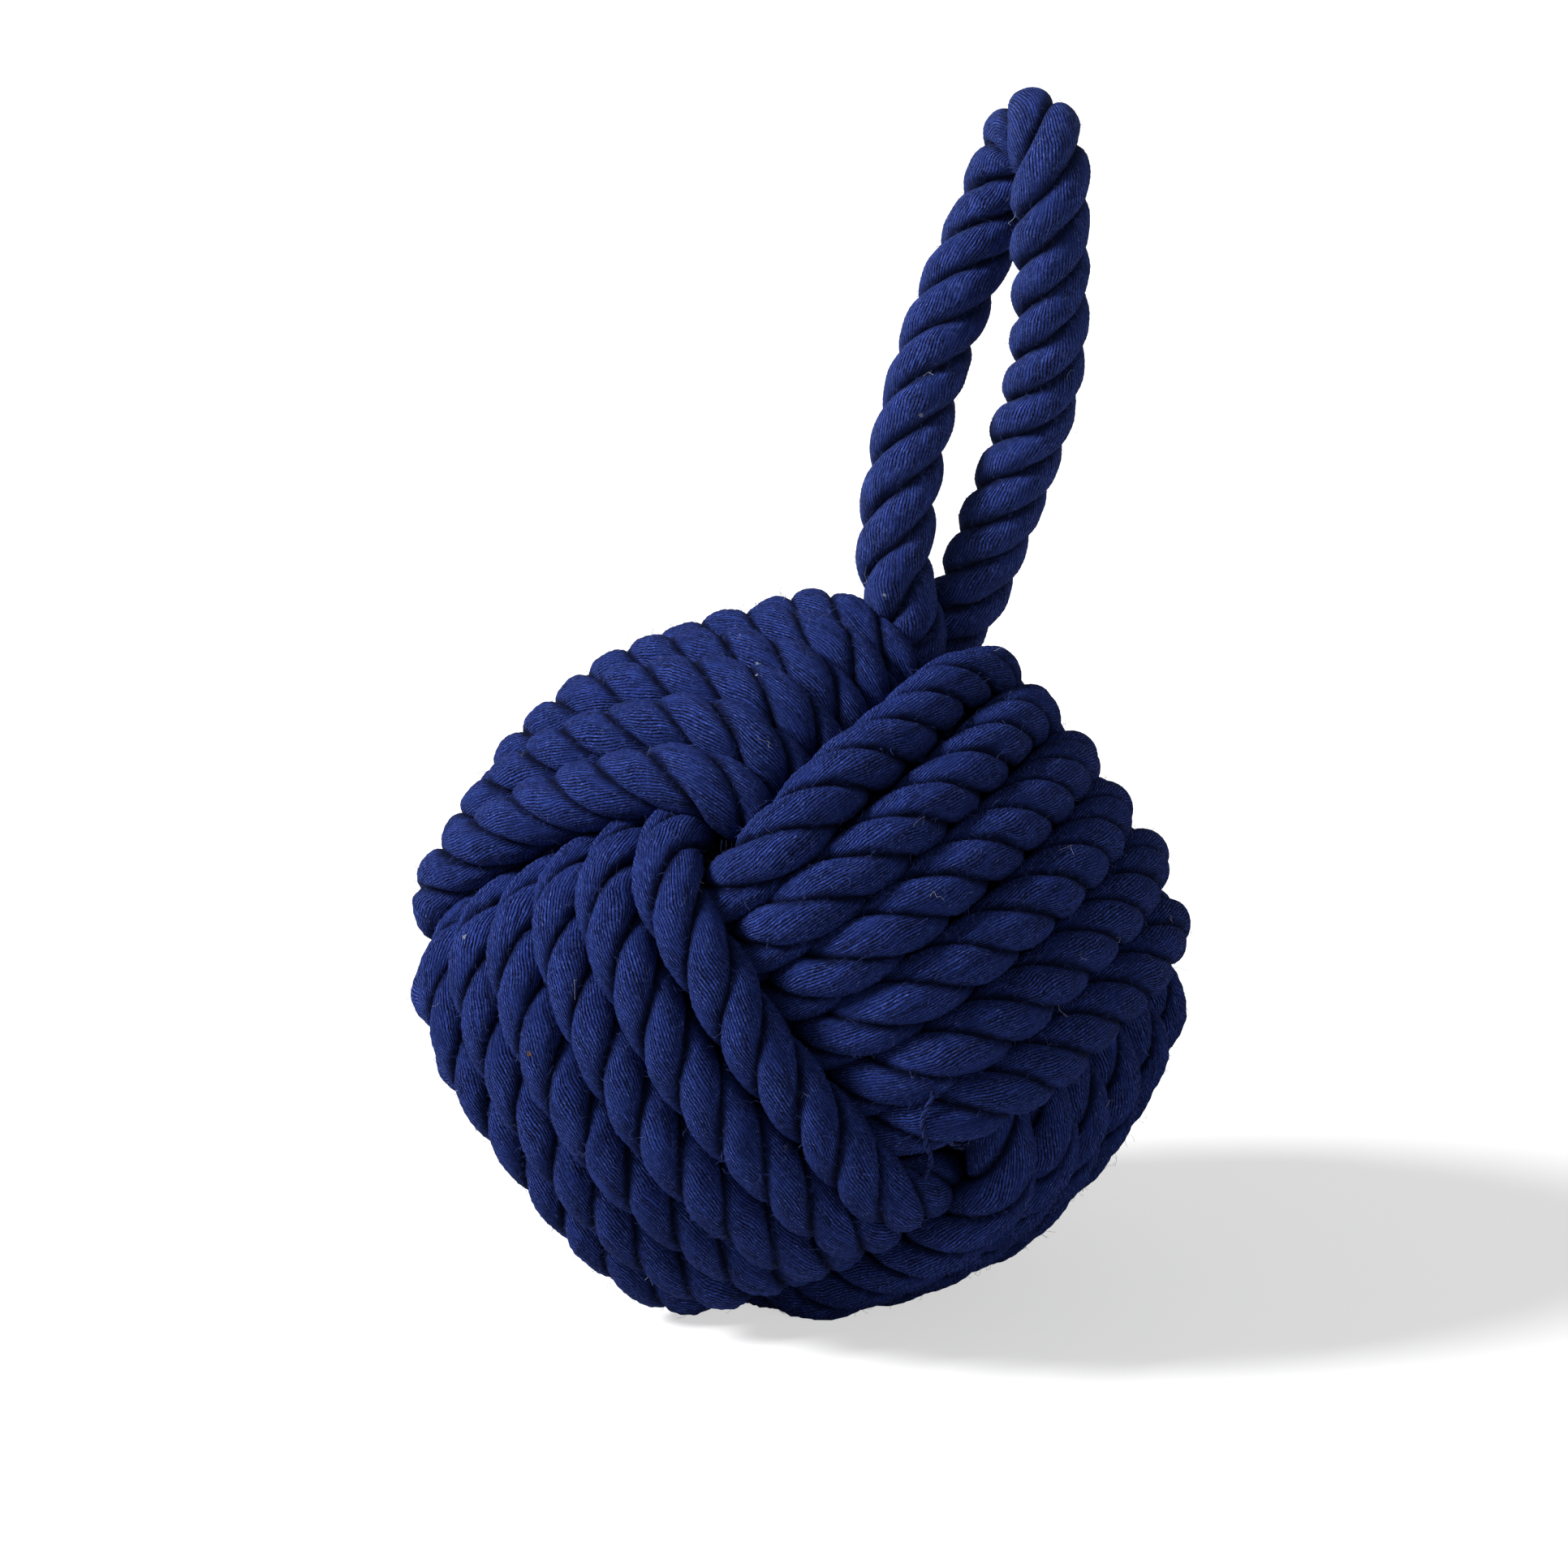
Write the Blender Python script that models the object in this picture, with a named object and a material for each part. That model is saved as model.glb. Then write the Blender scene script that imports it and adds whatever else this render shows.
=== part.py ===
# Doorstop made as a large rope knot round a sand bag, with a rope loop as its handle.
# Three windings of the same rope cross at right angles. Each passes outside one and under the next.
# X is to the right and Y to the back, Z is up, and the floor is Z = 0, in metres.

import math

import bmesh
import bpy
from mathutils import Euler, Matrix, Vector

# Sizes of the rope
rope_radius = 0.0063          # an outside turn, pressed by its neighbours
tuck_ratio = 0.72             # how thin a turn is squeezed where it runs under another winding
tail_ratio = 0.68             # how thin the handle's tails are squeezed in the throat
handle_radius = 0.0074        # the free rope of the handle
foot_ratio = 0.74             # the handle's feet, pinched where they leave the throat

# The knot
turns = 6                     # turns in each winding
points_per_turn = 24
turn_step = 12.1              # degrees between the outside turns
corner_step = 10.7            # degrees between them where they dive under the next winding
tuck_step = 11.6              # degrees between the turns that run underneath
turn_gap = 0.0012             # between two outside turns, before the knot sags
layer_gap = 0.0032            # between an outside turn and one that runs under it
dive_start = 37.5             # degrees from the middle of a face, where a turn starts to dive
dive_end = 52.5
pressed_from = 15.0           # degrees from the middle of a face, where the squeeze starts
corner_rise = 0.0050          # how far the knot's eight corners stand out beyond a round ball
first_angle = 67.5            # where a winding's first full turn is measured from
step_sweep = 120.0            # degrees of hidden travel in which a turn steps to the next place

# The corner of the knot where the handle comes out
open_push = 4.5               # degrees by which the turns next to the corner are pushed aside
open_reach = 22.0             # how far round the corner that push is felt, in degrees
open_squeeze = 0.25           # how much thinner the turns are pressed at the corner
squeeze_reach = 30.0
tail_gap = 0.0009             # between the two tails in the throat
tail_turn = -20.0             # degrees by which the pair of tails is turned in the throat
pivot_rise = 0.0045           # the handle's pivot above the middle of the outside turns
foot_gap = 0.0007             # between a tail's end and the handle's foot

# How the knot lies
tall_share = 0.95             # how tall the knot still is after sagging under its own weight
knot_turn = (-118.72, -124.59, -7.44)    # degrees about X, Y and Z
flat_reach = 15.0             # degrees from straight down over which the underside has settled
flat_fade = 26.0              # degrees from straight down where it is round again
flat_squeeze = 0.06           # how much thinner the rope is pressed there
cut_share = 0.1               # the flat on the lowest turns, as a share of their diameter

# The sand bag in the middle
core_gap = 0.0009             # between the bag and the innermost turns
bag_wall = 0.0008
sand_gap = 0.0012
neck_radius = 0.0041
neck_height = 0.0100
mouth_flare = 0.0023
trough_width = 0.0038
gather_angle = 22.0           # degrees from the neck's axis, where the cloth starts to gather
tie_radius = 0.0011
tie_gap = 0.0003

# The handle's route, from the middle of the throat: right, back and up, for the front leg and the rear one
left_leg = (
    (-0.0056, -0.0048, 0.0114),
    (-0.0058, -0.0037, 0.0189),
    (-0.0048, -0.0019, 0.0288),
    (-0.0028, 0.0002, 0.0394),
    (-0.0003, 0.0031, 0.0489),
    (0.0032, 0.0062, 0.0592),
    (0.0073, 0.0085, 0.0689),
    (0.0117, 0.0107, 0.0786),
    (0.0155, 0.0116, 0.0884),
)
crown = (
    (0.0179, 0.0097, 0.0952),
    (0.0205, 0.0039, 0.0987),
    (0.0227, -0.0018, 0.0963),
)
right_leg = (
    (0.0233, -0.0048, 0.0904),
    (0.0232, -0.0052, 0.0830),
    (0.0234, -0.0042, 0.0725),
    (0.0233, -0.0030, 0.0608),
    (0.0226, -0.0018, 0.0528),
    (0.0209, -0.0004, 0.0439),
    (0.0178, 0.0006, 0.0337),
    (0.0145, 0.0014, 0.0238),
    (0.0118, 0.0020, 0.0167),
    (0.0094, 0.0024, 0.0096),
)
handle_spacing = 0.0045       # between the points of the handle's tube
pinch_length = 0.0150         # the rope swells to its full thickness this far from a foot

tuck_radius = rope_radius * tuck_ratio
tail_radius = rope_radius * tail_ratio
foot_radius = handle_radius * foot_ratio
outer_reach = (2 * rope_radius + turn_gap) / math.radians(turn_step)
inner_reach = outer_reach - rope_radius - tuck_radius - layer_gap
pivot_reach = outer_reach + pivot_rise
tail_offset = (2 * tail_radius + tail_gap) / math.sqrt(3)
foot_offset = (2 * foot_radius + tail_gap) / math.sqrt(3)
chord_sag = inner_reach * (1 - math.cos(math.pi / points_per_turn))
bag_reach = inner_reach - chord_sag - tuck_radius - core_gap

# The knot's own three axes, one square to each winding's plane
turned = Euler([math.radians(angle) for angle in knot_turn]).to_matrix()
axes = [turned.col[i].copy() for i in range(3)]
throat_axis = (axes[0] + axes[1] + axes[2]).normalized()
down = Vector((0, 0, -1))

for thing in list(bpy.data.objects):
    bpy.data.objects.remove(thing, do_unlink=True)


def material(name, color, roughness):
    """A plain Principled material."""
    made = bpy.data.materials.new(name)
    made.use_nodes = True
    shader = made.node_tree.nodes["Principled BSDF"]
    shader.inputs["Base Color"].default_value = (*color, 1)
    shader.inputs["Roughness"].default_value = roughness
    shader.inputs["Metallic"].default_value = 0.0
    return made


def clamp(value):
    return min(1.0, max(0.0, value))


def ease(value):
    """From 0 to 1 with a level start and end."""
    value = clamp(value)
    return value * value * (3 - 2 * value)


def mix(first, second, share):
    return first + (second - first) * share


def corner_share(direction):
    """How near a direction is to one of the knot's eight corners: 1 there, 0 on the knot's own planes."""
    share = 27.0
    for axis in axes:
        share *= direction.dot(axis) ** 2
    return share


def settle(point, radius):
    """Let the knot sag, and press what faces the floor into a flat.

    There the turns and what is under them rise together. The undersides of the outside turns come
    to one level, also where a turn is already thinner.
    """
    direction = point.normalized()
    angle = math.degrees(direction.angle(down))
    sagged = Vector((point.x, point.y, point.z * tall_share))
    if angle >= flat_fade:
        return sagged, radius
    lowest = (outer_reach + corner_rise * corner_share(direction)) * math.cos(math.radians(angle))
    level = outer_reach * math.cos(math.radians(flat_reach))
    share = ease((flat_fade - angle) / (flat_fade - flat_reach))
    rise = tall_share * max(0.0, lowest - level) * share
    pressed = radius * (1 - flat_squeeze * ease(1 - angle / flat_reach))
    if point.length > (outer_reach + inner_reach) / 2:
        rise -= (rope_radius - pressed) * share
    return sagged - down * rise, pressed


def open_corner(point, radius):
    """Push the turns away from the corner where the handle comes out, and press them thinner."""
    direction = point.normalized()
    angle = math.degrees(direction.angle(throat_axis))
    aside = (direction - throat_axis * direction.dot(throat_axis)).normalized()
    wider = math.radians(angle + open_push * math.exp(-((angle / open_reach) ** 2)))
    pushed = throat_axis * math.cos(wider) + aside * math.sin(wider)
    pressed = radius * (1 - open_squeeze * math.exp(-((angle / squeeze_reach) ** 2)))
    return pushed * point.length, pressed


def turn_point(outside, under, across, angle):
    """One point of a winding, and the rope's radius there.

    The winding lies outside on the faces along the first axis and under its neighbour on those
    along the second. The angle grows from turn to turn, and each turn steps across underneath.
    """
    passes = math.floor((angle - 90.0) / 360.0 + 0.5)
    into_step = angle - 90.0 - passes * 360.0
    place = turns - passes - clamp(into_step / step_sweep + 0.5)
    offset = place - (turns - 1) / 2

    radians = math.radians(angle)
    tilt = math.degrees(math.asin(abs(math.sin(radians))))
    depth = ease((tilt - dive_start + 4.5) / (dive_end - dive_start + 9.0))
    reach = mix(outer_reach, inner_reach, depth)
    if depth < 0.5:
        spread = mix(turn_step, corner_step, ease((tilt - pressed_from) / (dive_start - pressed_from)))
    else:
        spread = mix(corner_step, tuck_step, ease((tilt - dive_end) / 25.0))
    pressed = clamp((tilt - pressed_from) / (dive_end - pressed_from))
    radius = mix(rope_radius, tuck_radius, pressed)

    lean = math.radians(offset * spread)
    around = outside * math.cos(radians) + under * math.sin(radians)
    direction = around * math.cos(lean) + across * math.sin(lean)
    reach += corner_rise * corner_share(direction)
    return open_corner(direction * reach, radius)


def tail_side(winding):
    """The side of the throat on which a winding's tail leaves, square to the throat's axis."""
    under = axes[(winding + 1) % 3]
    side = under * 0.64 + axes[(winding + 2) % 3] * 0.127 - axes[winding] * 0.76
    side = (side - throat_axis * side.dot(throat_axis)).normalized()
    return Matrix.Rotation(math.radians(tail_turn), 3, throat_axis) @ side


def tail_place(winding, offset):
    """Where a tail or a foot stands in the throat, with the middle of the pair on the throat's axis."""
    aside = (tail_side(1) + tail_side(2)) / 2
    return (tail_side(winding) - aside) * offset


def winding(number, with_tail):
    """The points and radii of a winding, from its tail in the throat to its hidden end."""
    outside = axes[number]
    under = axes[(number + 1) % 3]
    across = axes[(number + 2) % 3]
    step = 360.0 / points_per_turn
    count = int((360.0 * turns + dive_end - first_angle) / step)
    path = [turn_point(outside, under, across, first_angle + step * i) for i in range(count + 1)]
    if with_tail:
        side = tail_place(number, tail_offset)
        top = pivot_reach - foot_radius - foot_gap
        low = inner_reach + 0.0020
        upper = [throat_axis * reach + side for reach in (top, mix(top, low, 0.5), low)]
        bend = throat_axis * (inner_reach - 0.0040) + side
        start = upper[-1]
        finish = path[0][0]
        for share in (1 / 3, 2 / 3):
            near = start.lerp(bend, share)
            far = bend.lerp(finish, share)
            upper.append(near.lerp(far, share))
        path = [(point, tail_radius) for point in upper] + path
    return [settle(point, radius) for point, radius in path]


def rounded(points, position):
    """A point on a smooth curve through a route, where each stretch is one unit long."""
    index = min(int(position), len(points) - 2)
    share = position - index
    before = points[max(index - 1, 0)]
    here = points[index]
    following = points[index + 1]
    after = points[min(index + 2, len(points) - 1)]
    return 0.5 * (
        2 * here
        + (following - before) * share
        + (2 * before - 5 * here + 4 * following - after) * share ** 2
        + (3 * here - before - 3 * following + after) * share ** 3
    )


def evenly(points, spacing):
    """Points at an even spacing on the smooth curve through a route."""
    fine = [rounded(points, i / 20) for i in range(20 * (len(points) - 1) + 1)]
    length = sum((b - a).length for a, b in zip(fine, fine[1:]))
    count = max(2, round(length / spacing))
    placed = [fine[0]]
    walked = 0.0
    for a, b in zip(fine, fine[1:]):
        stretch = (b - a).length
        while len(placed) < count and walked + stretch >= length * len(placed) / count:
            share = (length * len(placed) / count - walked) / stretch
            placed.append(a.lerp(b, share))
        walked += stretch
    placed.append(fine[-1])
    return placed


def foot_cap(foot, leg):
    """Points that close a leg with a round foot about its pivot, the lowest one first."""
    ends = []
    for angle in (80, 56, 28):
        ends.append((foot - leg * foot_radius * math.sin(math.radians(angle)),
                     foot_radius * math.cos(math.radians(angle))))
    return ends


def handle(front_foot, rear_foot, throat):
    """The points and radii of the handle's rope, from the front foot to the rear one."""
    route = [front_foot]
    route += [throat + Vector(place) for place in left_leg + crown + right_leg]
    route.append(rear_foot)
    line = evenly(route, handle_spacing)
    path = []
    walked = 0.0
    length = sum((b - a).length for a, b in zip(line, line[1:]))
    for i, point in enumerate(line):
        if i:
            walked += (point - line[i - 1]).length
        swell = ease(min(walked, length - walked) / pinch_length)
        path.append((point, mix(foot_radius, handle_radius, swell)))
    front = foot_cap(line[0], (line[1] - line[0]).normalized())
    rear = foot_cap(line[-1], (line[-2] - line[-1]).normalized())
    return front + path + rear[::-1]


def tube(name, path, shade, bevel_resolution):
    """A rope as one unbroken tube with filled ends."""
    curve = bpy.data.curves.new(name, "CURVE")
    curve.dimensions = "3D"
    curve.bevel_mode = "ROUND"
    curve.bevel_depth = 1.0
    curve.bevel_resolution = bevel_resolution
    curve.use_fill_caps = True
    spline = curve.splines.new("POLY")
    spline.points.add(len(path) - 1)
    for knot, (point, radius) in zip(spline.points, path):
        knot.co = (*point, 1)
        knot.radius = radius
    curve.materials.append(shade)
    made = bpy.data.objects.new(name, curve)
    bpy.context.collection.objects.link(made)
    return made


def cut_at_floor(made):
    """Turn a tube into a mesh and cut what reaches below the floor off flat."""
    graph = bpy.context.evaluated_depsgraph_get()
    mesh = bpy.data.meshes.new_from_object(made.evaluated_get(graph))
    form = bmesh.new()
    form.from_mesh(mesh)
    bmesh.ops.remove_doubles(form, verts=form.verts, dist=0.000001)
    everything = form.verts[:] + form.edges[:] + form.faces[:]
    cut = bmesh.ops.bisect_plane(form, geom=everything, plane_co=(0, 0, 0), plane_no=(0, 0, -1), clear_outer=True)
    rim = [item for item in cut["geom_cut"] if isinstance(item, bmesh.types.BMEdge)]
    if rim:
        bmesh.ops.holes_fill(form, edges=rim, sides=0)
    bmesh.ops.recalc_face_normals(form, faces=form.faces)
    form.to_mesh(mesh)
    form.free()
    mesh.shade_smooth()
    mesh.set_sharp_from_angle(angle=math.radians(50))
    name = made.name
    bpy.data.objects.remove(made, do_unlink=True)
    solid = bpy.data.objects.new(name, mesh)
    bpy.context.collection.objects.link(solid)
    return solid


def turned_form(name, profile, closed, steps, shade, place, axis):
    """A profile of (radius, height) points turned about an axis through the knot's middle."""
    form = bmesh.new()
    corners = [form.verts.new((radius, 0, height)) for radius, height in profile]
    pairs = list(zip(corners, corners[1:]))
    if closed:
        pairs.append((corners[-1], corners[0]))
    edges = [form.edges.new(pair) for pair in pairs]
    bmesh.ops.spin(form, geom=corners + edges, cent=(0, 0, 0), axis=(0, 0, 1), angle=2 * math.pi,
                   steps=steps, use_merge=True)
    bmesh.ops.remove_doubles(form, verts=form.verts, dist=0.000001)
    bmesh.ops.recalc_face_normals(form, faces=form.faces)
    mesh = bpy.data.meshes.new(name)
    form.to_mesh(mesh)
    form.free()
    upright = axis.to_track_quat("Z", "Y").to_matrix()
    for corner in mesh.vertices:
        spot, unused = settle(upright @ corner.co, 0.0)
        corner.co = spot + place
    mesh.shade_smooth()
    mesh.set_sharp_from_angle(angle=math.radians(40))
    mesh.materials.append(shade)
    made = bpy.data.objects.new(name, mesh)
    bpy.context.collection.objects.link(made)
    return made


def arc(reach, first, last, count):
    """Points of (radius, height) on a circle about the middle, by the angle above its waist."""
    angles = [math.radians(mix(first, last, i / (count - 1))) for i in range(count)]
    return [(reach * math.cos(angle), reach * math.sin(angle)) for angle in angles]


def bag_outline(reach, inset):
    """The gathered side of the bag, from where the cloth leaves the ball to the foot of the neck."""
    mouth = reach - 0.0010
    floor = mouth - neck_height
    side = neck_radius + trough_width + inset
    start = reach * math.sin(math.radians(gather_angle))
    return [
        (mix(side, start, 0.62), mix(floor, reach, 0.74) - inset),
        (mix(side, start, 0.22), mix(floor, reach, 0.46) - inset),
        (side, mix(floor, reach, 0.22) - inset),
        (neck_radius + trough_width * 0.5, floor - inset),
    ]


def least_gap(path, other, skip):
    """The least gap between two ropes on their points, leaving out near neighbours of the same rope."""
    least = math.inf
    for i, (point, radius) in enumerate(path):
        for j, (spot, thickness) in enumerate(other):
            if skip and abs(i - j) <= skip:
                continue
            least = min(least, (point - spot).length - radius - thickness)
    return least


navy = material("navy_cotton", (0.020, 0.042, 0.145), 0.92)
navy_handle = material("navy_cotton_handle", (0.022, 0.046, 0.155), 0.92)
canvas = material("calico_bag", (0.62, 0.56, 0.44), 0.9)
sand = material("dry_sand", (0.55, 0.44, 0.28), 1.0)
twine = material("bag_twine", (0.42, 0.33, 0.20), 0.9)

# The windings, and the two feet of the handle, about the knot's middle
paths = {
    "first_winding": winding(1, True),
    "second_winding": winding(0, False),
    "third_winding": winding(2, True),
}
front_foot = settle(throat_axis * pivot_reach + tail_place(2, foot_offset), foot_radius)[0]
rear_foot = settle(throat_axis * pivot_reach + tail_place(1, foot_offset), foot_radius)[0]
throat = (front_foot + rear_foot) / 2
paths["handle_loop"] = handle(front_foot, rear_foot, throat)

# The middle of the knot stands where the box round the part is centred on the origin
everything = [pair for path in paths.values() for pair in path]
middle = Vector((0, 0, 0))
for i in range(2):
    lowest = min(point[i] - radius for point, radius in everything)
    highest = max(point[i] + radius for point, radius in everything)
    middle[i] = -(lowest + highest) / 2
lowest = min(point.z - radius for point, radius in everything)
middle.z = -lowest - cut_share * 2 * rope_radius

for name, path in paths.items():
    path[:] = [(point + middle, radius) for point, radius in path]

for name in ("first_winding", "second_winding", "third_winding"):
    cut_at_floor(tube(name, paths[name], navy, 1))
    print(name, "least gap to itself, mm:", round(1000 * least_gap(paths[name], paths[name], 4), 2))
tube("handle_loop", paths["handle_loop"], navy_handle, 3)

# The sand bag, its twine and the sand
bag_axis = (axes[1] - axes[0] - axes[2]).normalized()
inner = bag_reach - bag_wall
fill = inner - sand_gap
mouth = bag_reach - 0.0010
floor = mouth - neck_height
bore = neck_radius - bag_wall
outline = arc(bag_reach, -90, 90 - gather_angle, 22)
outline += bag_outline(bag_reach, 0.0)
outline += [
    (neck_radius, mix(floor, mouth, 0.12)),
    (neck_radius, mix(floor, mouth, 0.55)),
    (neck_radius + mouth_flare, mouth),
    (neck_radius + mouth_flare - bag_wall, mouth + bag_wall * 0.6),
    (bore, mix(floor, mouth, 0.60)),
    (bore, floor - bag_wall * 0.4),
]
outline += [(radius, height) for radius, height in bag_outline(bag_reach, bag_wall)[::-1]]
outline += arc(inner, 90 - gather_angle, -90, 22)
turned_form("core_bag", outline, False, 36, canvas, middle, bag_axis)

heap = arc(fill, -90, 90 - gather_angle, 22)
heap += bag_outline(bag_reach, bag_wall + sand_gap + 0.0002)
heap += [(0.0, floor - bag_wall - sand_gap - 0.0006)]
turned_form("sand_fill", heap, False, 36, sand, middle, bag_axis)

tie_reach = neck_radius + tie_gap + tie_radius
tie_height = mix(floor, mouth, 0.36)
ring = []
for i in range(8):
    angle = math.radians(45 * i)
    ring.append((tie_reach + tie_radius * math.cos(angle), tie_height + tie_radius * math.sin(angle)))
turned_form("bag_tie", ring, True, 24, twine, middle, bag_axis)

names = [name for name in paths if name != "handle_loop"]
for i, name in enumerate(names):
    for other in names[i + 1:]:
        print(name, "to", other, "least gap, mm:", round(1000 * least_gap(paths[name], paths[other], 0), 2))
pivot = throat + middle
hinge = (rear_foot - front_foot).normalized()
print("handle pivot", [round(value, 5) for value in pivot], "axis", [round(value, 5) for value in hinge])
print("knot middle", [round(value, 5) for value in middle], "outer reach", round(outer_reach, 5))
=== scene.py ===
# Dresses the rope knot doorstop: laid cotton rope, its fuzz and lint, the hidden sand bag, studio and camera.
import functools
import math

import bmesh
import bpy
import numpy as np
from mathutils import Euler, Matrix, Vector


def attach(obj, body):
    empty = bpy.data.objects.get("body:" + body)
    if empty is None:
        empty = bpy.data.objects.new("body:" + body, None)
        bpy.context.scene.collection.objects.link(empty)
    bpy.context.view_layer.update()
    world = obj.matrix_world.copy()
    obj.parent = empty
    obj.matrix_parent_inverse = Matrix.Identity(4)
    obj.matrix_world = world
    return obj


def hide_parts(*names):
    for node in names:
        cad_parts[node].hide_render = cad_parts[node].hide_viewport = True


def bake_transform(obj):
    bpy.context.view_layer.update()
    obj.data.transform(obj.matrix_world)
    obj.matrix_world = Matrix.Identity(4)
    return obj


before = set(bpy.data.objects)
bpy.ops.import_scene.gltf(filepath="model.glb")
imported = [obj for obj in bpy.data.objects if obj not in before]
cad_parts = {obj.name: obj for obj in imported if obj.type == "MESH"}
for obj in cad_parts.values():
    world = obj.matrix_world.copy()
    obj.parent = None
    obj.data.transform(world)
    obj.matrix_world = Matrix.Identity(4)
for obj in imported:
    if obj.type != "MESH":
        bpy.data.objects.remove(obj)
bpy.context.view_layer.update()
print("frame loaded")


camera = {
    "elevation": 15.0,
    "distance": 1.30,
    "widthSeen": 0.3038,  # metres across the picture at the knot's middle
    "knotMiddle": (-0.00009, 0.0, 0.06502),
    "sensorWidth": 36.0,
    "aimRight": -0.0031,
    "aimUp": 0.0338,
}


def addObject(name, data):
    made = bpy.data.objects.new(name, data)
    bpy.context.collection.objects.link(made)
    return made


def makeCamera():
    tilt = math.radians(camera["elevation"])
    up = Vector((0, math.sin(tilt), math.cos(tilt)))
    ahead = Vector((0, math.cos(tilt), -math.sin(tilt)))
    aim = Vector(camera["knotMiddle"]) + Vector((camera["aimRight"], 0, 0)) + up * camera["aimUp"]
    data = bpy.data.cameras.new("studioCamera")
    data.sensor_width = camera["sensorWidth"]
    data.lens = data.sensor_width * camera["distance"] / camera["widthSeen"]
    made = addObject("studioCamera", data)
    made.location = aim - ahead * camera["distance"]
    made.rotation_euler = (math.pi / 2 - tilt, 0, 0)
    bpy.context.scene.camera = made


makeCamera()
print("camera set")


def feed(socket, value):
    if isinstance(value, bpy.types.NodeSocket):
        socket.id_data.links.new(value, socket)
    else:
        socket.default_value = value


def addNode(tree, kind, inputs=None, **settings):
    node = tree.nodes.new(kind)
    for name, value in settings.items():
        setattr(node, name, value)
    for name, value in (inputs or {}).items():
        feed(node.inputs[name], value)
    return node


def treeOf(values):
    return next(value.id_data for value in values if isinstance(value, bpy.types.NodeSocket))


def calc(operation, *values, clamp=False):
    node = addNode(treeOf(values), "ShaderNodeMath", operation=operation, use_clamp=clamp)
    for socket, value in zip(node.inputs, values):
        feed(socket, value)
    return node.outputs[0]


plus, minus, times = (functools.partial(calc, operation) for operation in ("ADD", "SUBTRACT", "MULTIPLY"))


def vectorCalc(operation, *values):
    node = addNode(treeOf(values), "ShaderNodeVectorMath", operation=operation)
    sockets = [node.inputs[0], node.inputs["Scale"]] if operation == "SCALE" else node.inputs
    for socket, value in zip(sockets, values):
        feed(socket, value)
    return node.outputs["Value" if operation in ("DOT_PRODUCT", "LENGTH") else "Vector"]


def groupInputs(tree, rows):
    for name, kind, value in rows:
        socket = tree.interface.new_socket(name, in_out="INPUT", socket_type="NodeSocket" + kind)
        if value is not None:
            socket.default_value = value
    return tree.nodes.new("NodeGroupInput").outputs


def groupOutputs(tree, values):
    # a shader group's outputs, each a number
    for name in values:
        tree.interface.new_socket(name, in_out="OUTPUT", socket_type="NodeSocketFloat")
    out = tree.nodes.new("NodeGroupOutput").inputs
    for name, value in values.items():
        feed(out[name], value)


def endTree(geometry, material):
    # the last steps of each geometry tree
    tree = geometry.id_data
    tree.interface.new_socket("Geometry", in_out="OUTPUT", socket_type="NodeSocketGeometry")
    real = addNode(tree, "GeometryNodeRealizeInstances", {"Geometry": geometry}).outputs[0]
    done = addNode(tree, "GeometryNodeSetMaterial", {"Geometry": real, "Material": material}).outputs[0]
    feed(tree.nodes.new("NodeGroupOutput").inputs[0], done)


def split(vector):
    return addNode(vector.id_data, "ShaderNodeSeparateXYZ", {"Vector": vector}).outputs


def join(x=0.0, y=0.0, z=0.0):
    return addNode(treeOf((x, y, z)), "ShaderNodeCombineXYZ", {"X": x, "Y": y, "Z": z}).outputs[0]


def noise(vector, scale, detail, roughness=0.5):
    # its outputs are Fac and Color
    return addNode(vector.id_data, "ShaderNodeTexNoise", {
        "Vector": vector, "Scale": scale, "Detail": detail, "Roughness": roughness}).outputs


def centredNoise(vector, scale, detail, strength):
    # a vector on both sides of nought
    cloud = noise(vector, scale, detail)["Color"]
    return vectorCalc("SCALE", vectorCalc("SUBTRACT", cloud, (0.5, 0.5, 0.5)), strength)


def lifted(spot, level):
    # a place, kept above a level
    parts = split(spot)
    return join(parts[0], parts[1], calc("MAXIMUM", parts[2], level))


def objectCoords(tree):
    return addNode(tree, "ShaderNodeTexCoord").outputs["Object"]


def storeNamed(geometry, name, value, kind, domain):
    return addNode(geometry.id_data, "GeometryNodeStoreNamedAttribute", {
        "Geometry": geometry, "Name": name, "Value": value}, data_type=kind, domain=domain).outputs[0]


def readNamed(tree, name, kind="FLOAT"):
    return addNode(tree, "GeometryNodeInputNamedAttribute", {"Name": name}, data_type=kind).outputs[0]


def runTree(holder, tree, values):
    # the modifier's result as a plain mesh, with the modifier taken off again
    modifier = holder.modifiers.new(tree.name, "NODES")
    modifier.node_group = tree
    for item in tree.interface.items_tree:
        if item.item_type == "SOCKET" and item.in_out == "INPUT" and item.name in values:
            modifier[item.identifier] = values[item.name]
    bpy.context.view_layer.update()
    graph = bpy.context.evaluated_depsgraph_get()
    mesh = bpy.data.meshes.new_from_object(holder.evaluated_get(graph), depsgraph=graph)
    holder.modifiers.remove(modifier)
    return mesh


def pieceFrom(mesh, name):
    mesh.name = name
    return addObject(name, mesh)


laying = {
    "aboveFloor": 0.0002,  # nothing of the rope or its fuzz goes under this height
    "mapStep": 3.0,  # between one strand and the next, across the map
    "strandApart": 11.3,  # keeps the strands' drifts unlike
    "driftGain": 4.0,
    "layDrift": 1.1,
    "endRows": 0.34,  # how fast a strand's ends close
    "endRound": 0.5,
    "mergeDistance": 0.000002,
}


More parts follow.
